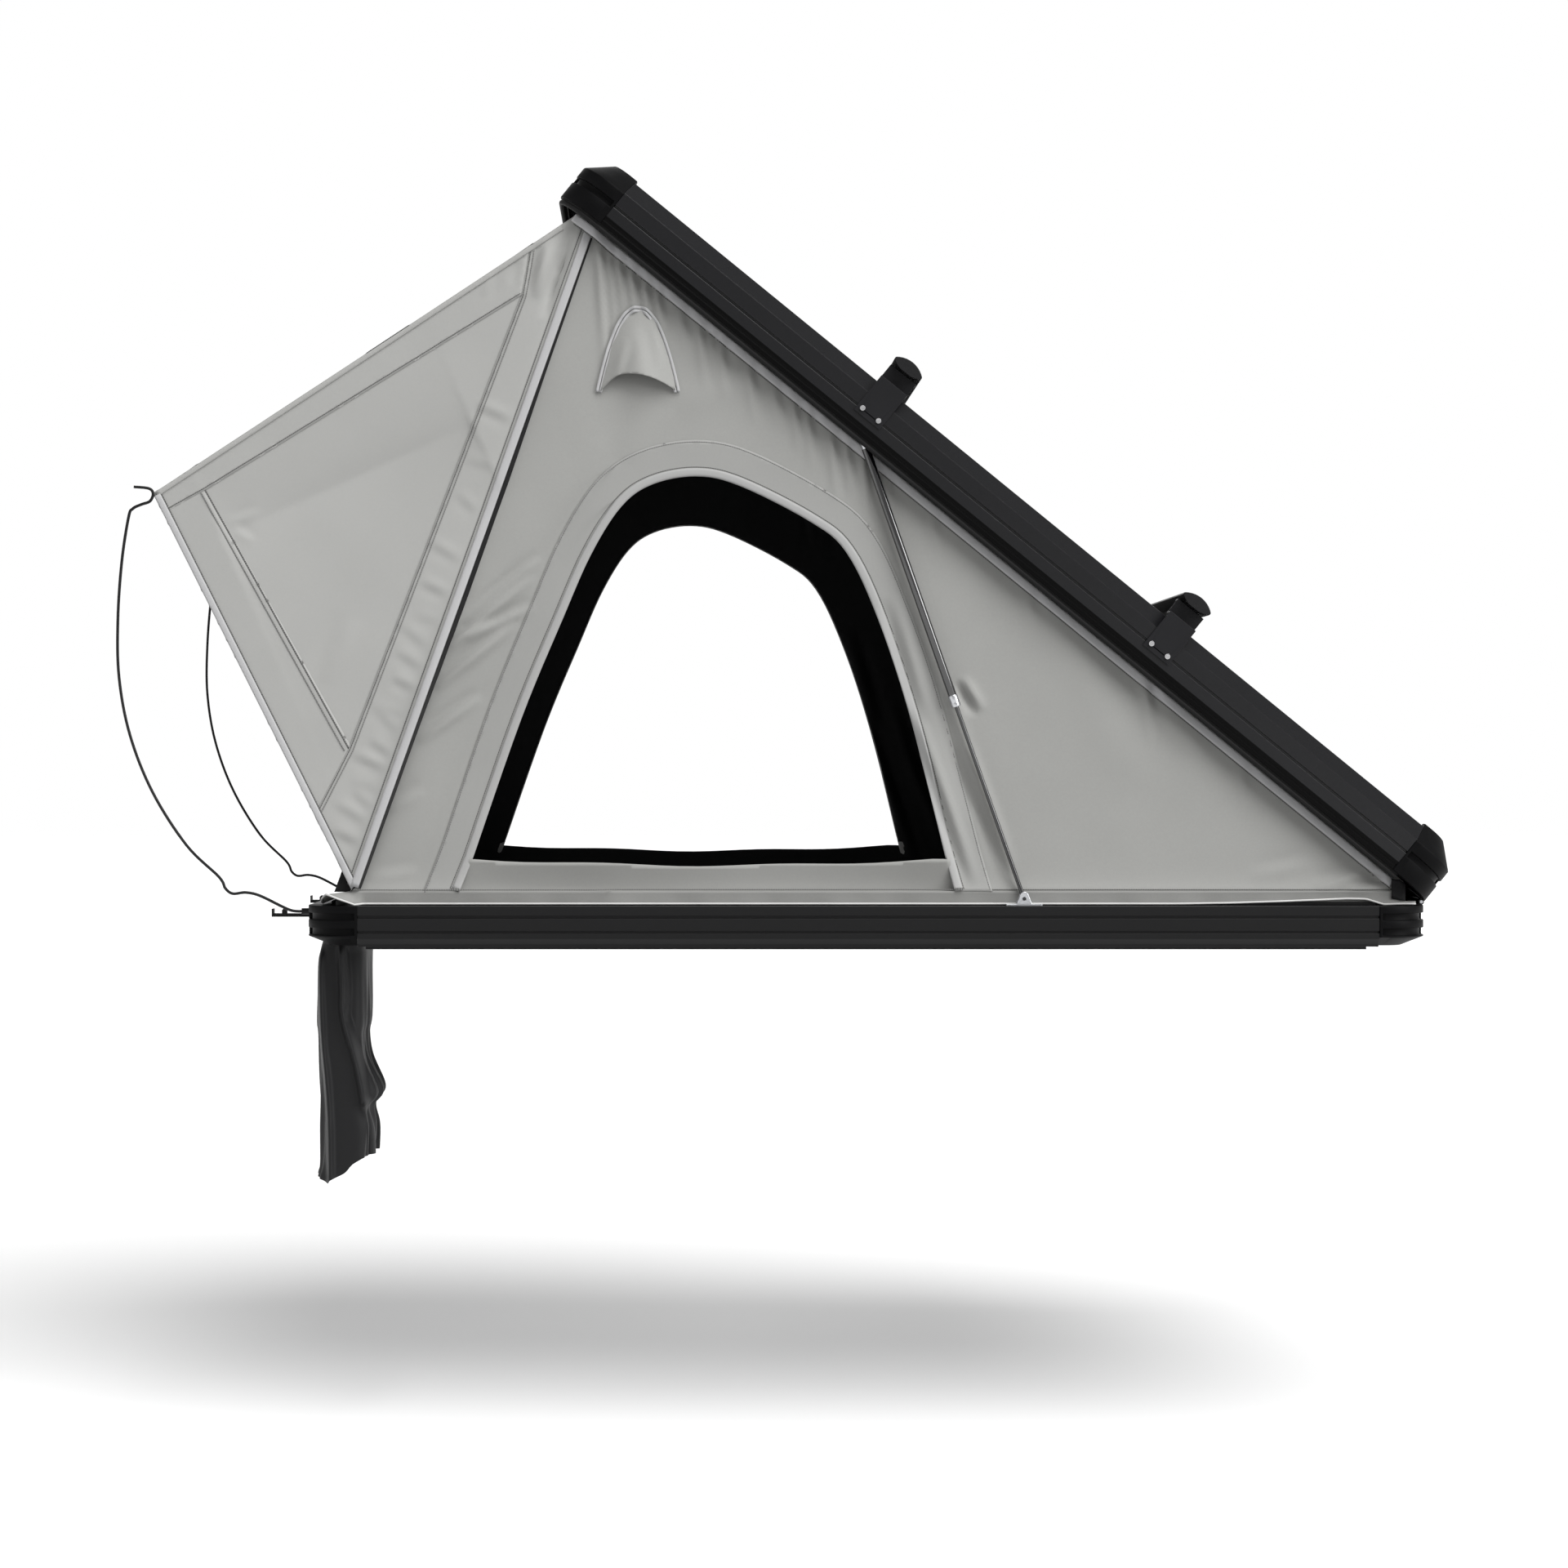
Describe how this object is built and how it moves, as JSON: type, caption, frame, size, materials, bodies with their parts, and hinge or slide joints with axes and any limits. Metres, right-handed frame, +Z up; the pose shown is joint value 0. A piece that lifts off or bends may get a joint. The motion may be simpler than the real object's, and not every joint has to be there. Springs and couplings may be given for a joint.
{
  "type": "roof top tent",
  "caption": "Wedge-shaped hard-shell roof top tent, open: a hinged lid on gas struts over a mattress base, with grey fabric walls, a rod-held front awning, windows and load bars.",
  "frame": {"origin": "centre of the mounting plane, the underside of the two slotted mounting rails", "axes": "+X towards the hinge at the rear, -X towards the awning at the front, +Y to the right side, +Z up"},
  "size_m": [2.5089, 1.315, 1.9251],
  "materials": {
    "black_extrusion": "satin",
    "black_casting": "satin",
    "black_steel": "satin",
    "black_plastic": "matte",
    "roof_sheet": "satin",
    "floor_board": "matte",
    "headliner_felt": "matte",
    "mattress_cover": "matte",
    "seal_rubber": "matte",
    "plated_steel": "satin",
    "strut_tube_paint": "gloss",
    "grey_canvas": "matte",
    "spring_wire": "satin",
    "bag_cloth": "matte"
  },
  "bodies": {
    "base": {"base_left_rail": "black_extrusion", "base_right_rail": "black_extrusion", "base_front_rail": "black_extrusion", "base_rear_rail": "black_extrusion", "base_corners": "black_casting", "floor_panel": "floor_board", "left_mounting_rail": "black_extrusion", "right_mounting_rail": "black_extrusion", "base_keder_track": "black_extrusion", "mattress": "mattress_cover", "hinge_base_leaf": "black_steel", "hinge_pin": "plated_steel", "strut_base_brackets": "plated_steel", "strut_base_pins": "plated_steel", "latch_plates": "black_steel", "latch_pins": "plated_steel", "rod_sockets": "black_steel", "left_wall": "grey_canvas", "right_wall": "grey_canvas", "front_wall": "grey_canvas", "left_vent_hood": "grey_canvas", "right_vent_hood": "grey_canvas", "shoe_bag": "bag_cloth"},
    "lid": {"lid_left_rail": "black_extrusion", "lid_right_rail": "black_extrusion", "lid_front_rail": "black_extrusion", "lid_rear_rail": "black_extrusion", "lid_corners": "black_casting", "roof_panel": "roof_sheet", "headliner": "headliner_felt", "lid_seal": "seal_rubber", "lid_keder_track": "black_extrusion", "hinge_lid_leaf": "black_steel", "strut_lid_brackets": "plated_steel", "front_load_bar": "black_extrusion", "rear_load_bar": "black_extrusion", "load_bar_caps": "black_plastic", "load_bar_brackets": "black_steel", "bracket_bolts": "plated_steel", "latch_catches": "black_steel"},
    "left_rod": {"left_strut_rod": "plated_steel"},
    "right_rod": {"right_strut_rod": "plated_steel"},
    "left_tube": {"left_strut_tube": "strut_tube_paint"},
    "right_tube": {"right_strut_tube": "strut_tube_paint"},
    "awning": {"awning_roof": "grey_canvas", "left_awning_wing": "grey_canvas", "right_awning_wing": "grey_canvas", "left_awning_rod": "spring_wire", "right_awning_rod": "spring_wire"},
    "left_latch": {"left_latch_lever": "black_steel"},
    "right_latch": {"right_latch_lever": "black_steel"}
  },
  "joints": [
    {"name": "lid_hinge", "type": "hinge", "parent": "base", "child": "lid", "pos_m": [1.044, 0, 0.09], "axis": [0, -1, 0], "range_deg": [0, 39.2], "stiffness_Nm_per_rad": 250, "springref_deg": -91.67, "deforming": ["left_wall", "right_wall", "front_wall", "left_vent_hood", "right_vent_hood", "awning_roof", "left_awning_wing", "right_awning_wing", "left_awning_rod", "right_awning_rod"]},
    {"name": "left_rod_pivot", "type": "hinge", "parent": "base", "child": "left_rod", "pos_m": [0.293, -0.622, 0.097], "axis": [0, -1, 0], "range_deg": [0, 70.6]},
    {"name": "right_rod_pivot", "type": "hinge", "parent": "base", "child": "right_rod", "pos_m": [0.293, 0.622, 0.097], "axis": [0, -1, 0], "range_deg": [0, 70.6]},
    {"name": "left_tube_slide", "type": "slide", "parent": "left_rod", "child": "left_tube", "axis": [-0.3315, 0, 0.9435], "range_m": [-0.2995, 0]},
    {"name": "right_tube_slide", "type": "slide", "parent": "right_rod", "child": "right_tube", "axis": [-0.3315, 0, 0.9435], "range_m": [-0.2995, 0]},
    {"name": "awning_fold", "type": "hinge", "parent": "base", "child": "awning", "pos_m": [-1, 0, 0.0955], "axis": [0, 1, 0], "range_deg": [0, 92.5]},
    {"name": "left_latch_pivot", "type": "hinge", "parent": "base", "child": "left_latch", "pos_m": [-1.062, -0.35, 0.058], "axis": [0, 1, 0], "range_deg": [0, 90]},
    {"name": "right_latch_pivot", "type": "hinge", "parent": "base", "child": "right_latch", "pos_m": [-1.062, 0.35, 0.058], "axis": [0, 1, 0], "range_deg": [0, 90]}
  ],
  "couplings": [
    {"joint": "left_rod_pivot", "follows": "lid_hinge", "ratio": 1.7997},
    {"joint": "right_rod_pivot", "follows": "lid_hinge", "ratio": 1.7997},
    {"joint": "left_tube_slide", "follows": "lid_hinge", "m_per_rad": -0.4369},
    {"joint": "right_tube_slide", "follows": "lid_hinge", "m_per_rad": -0.4369},
    {"joint": "awning_fold", "follows": "lid_hinge", "ratio": 2.3469}
  ]
}
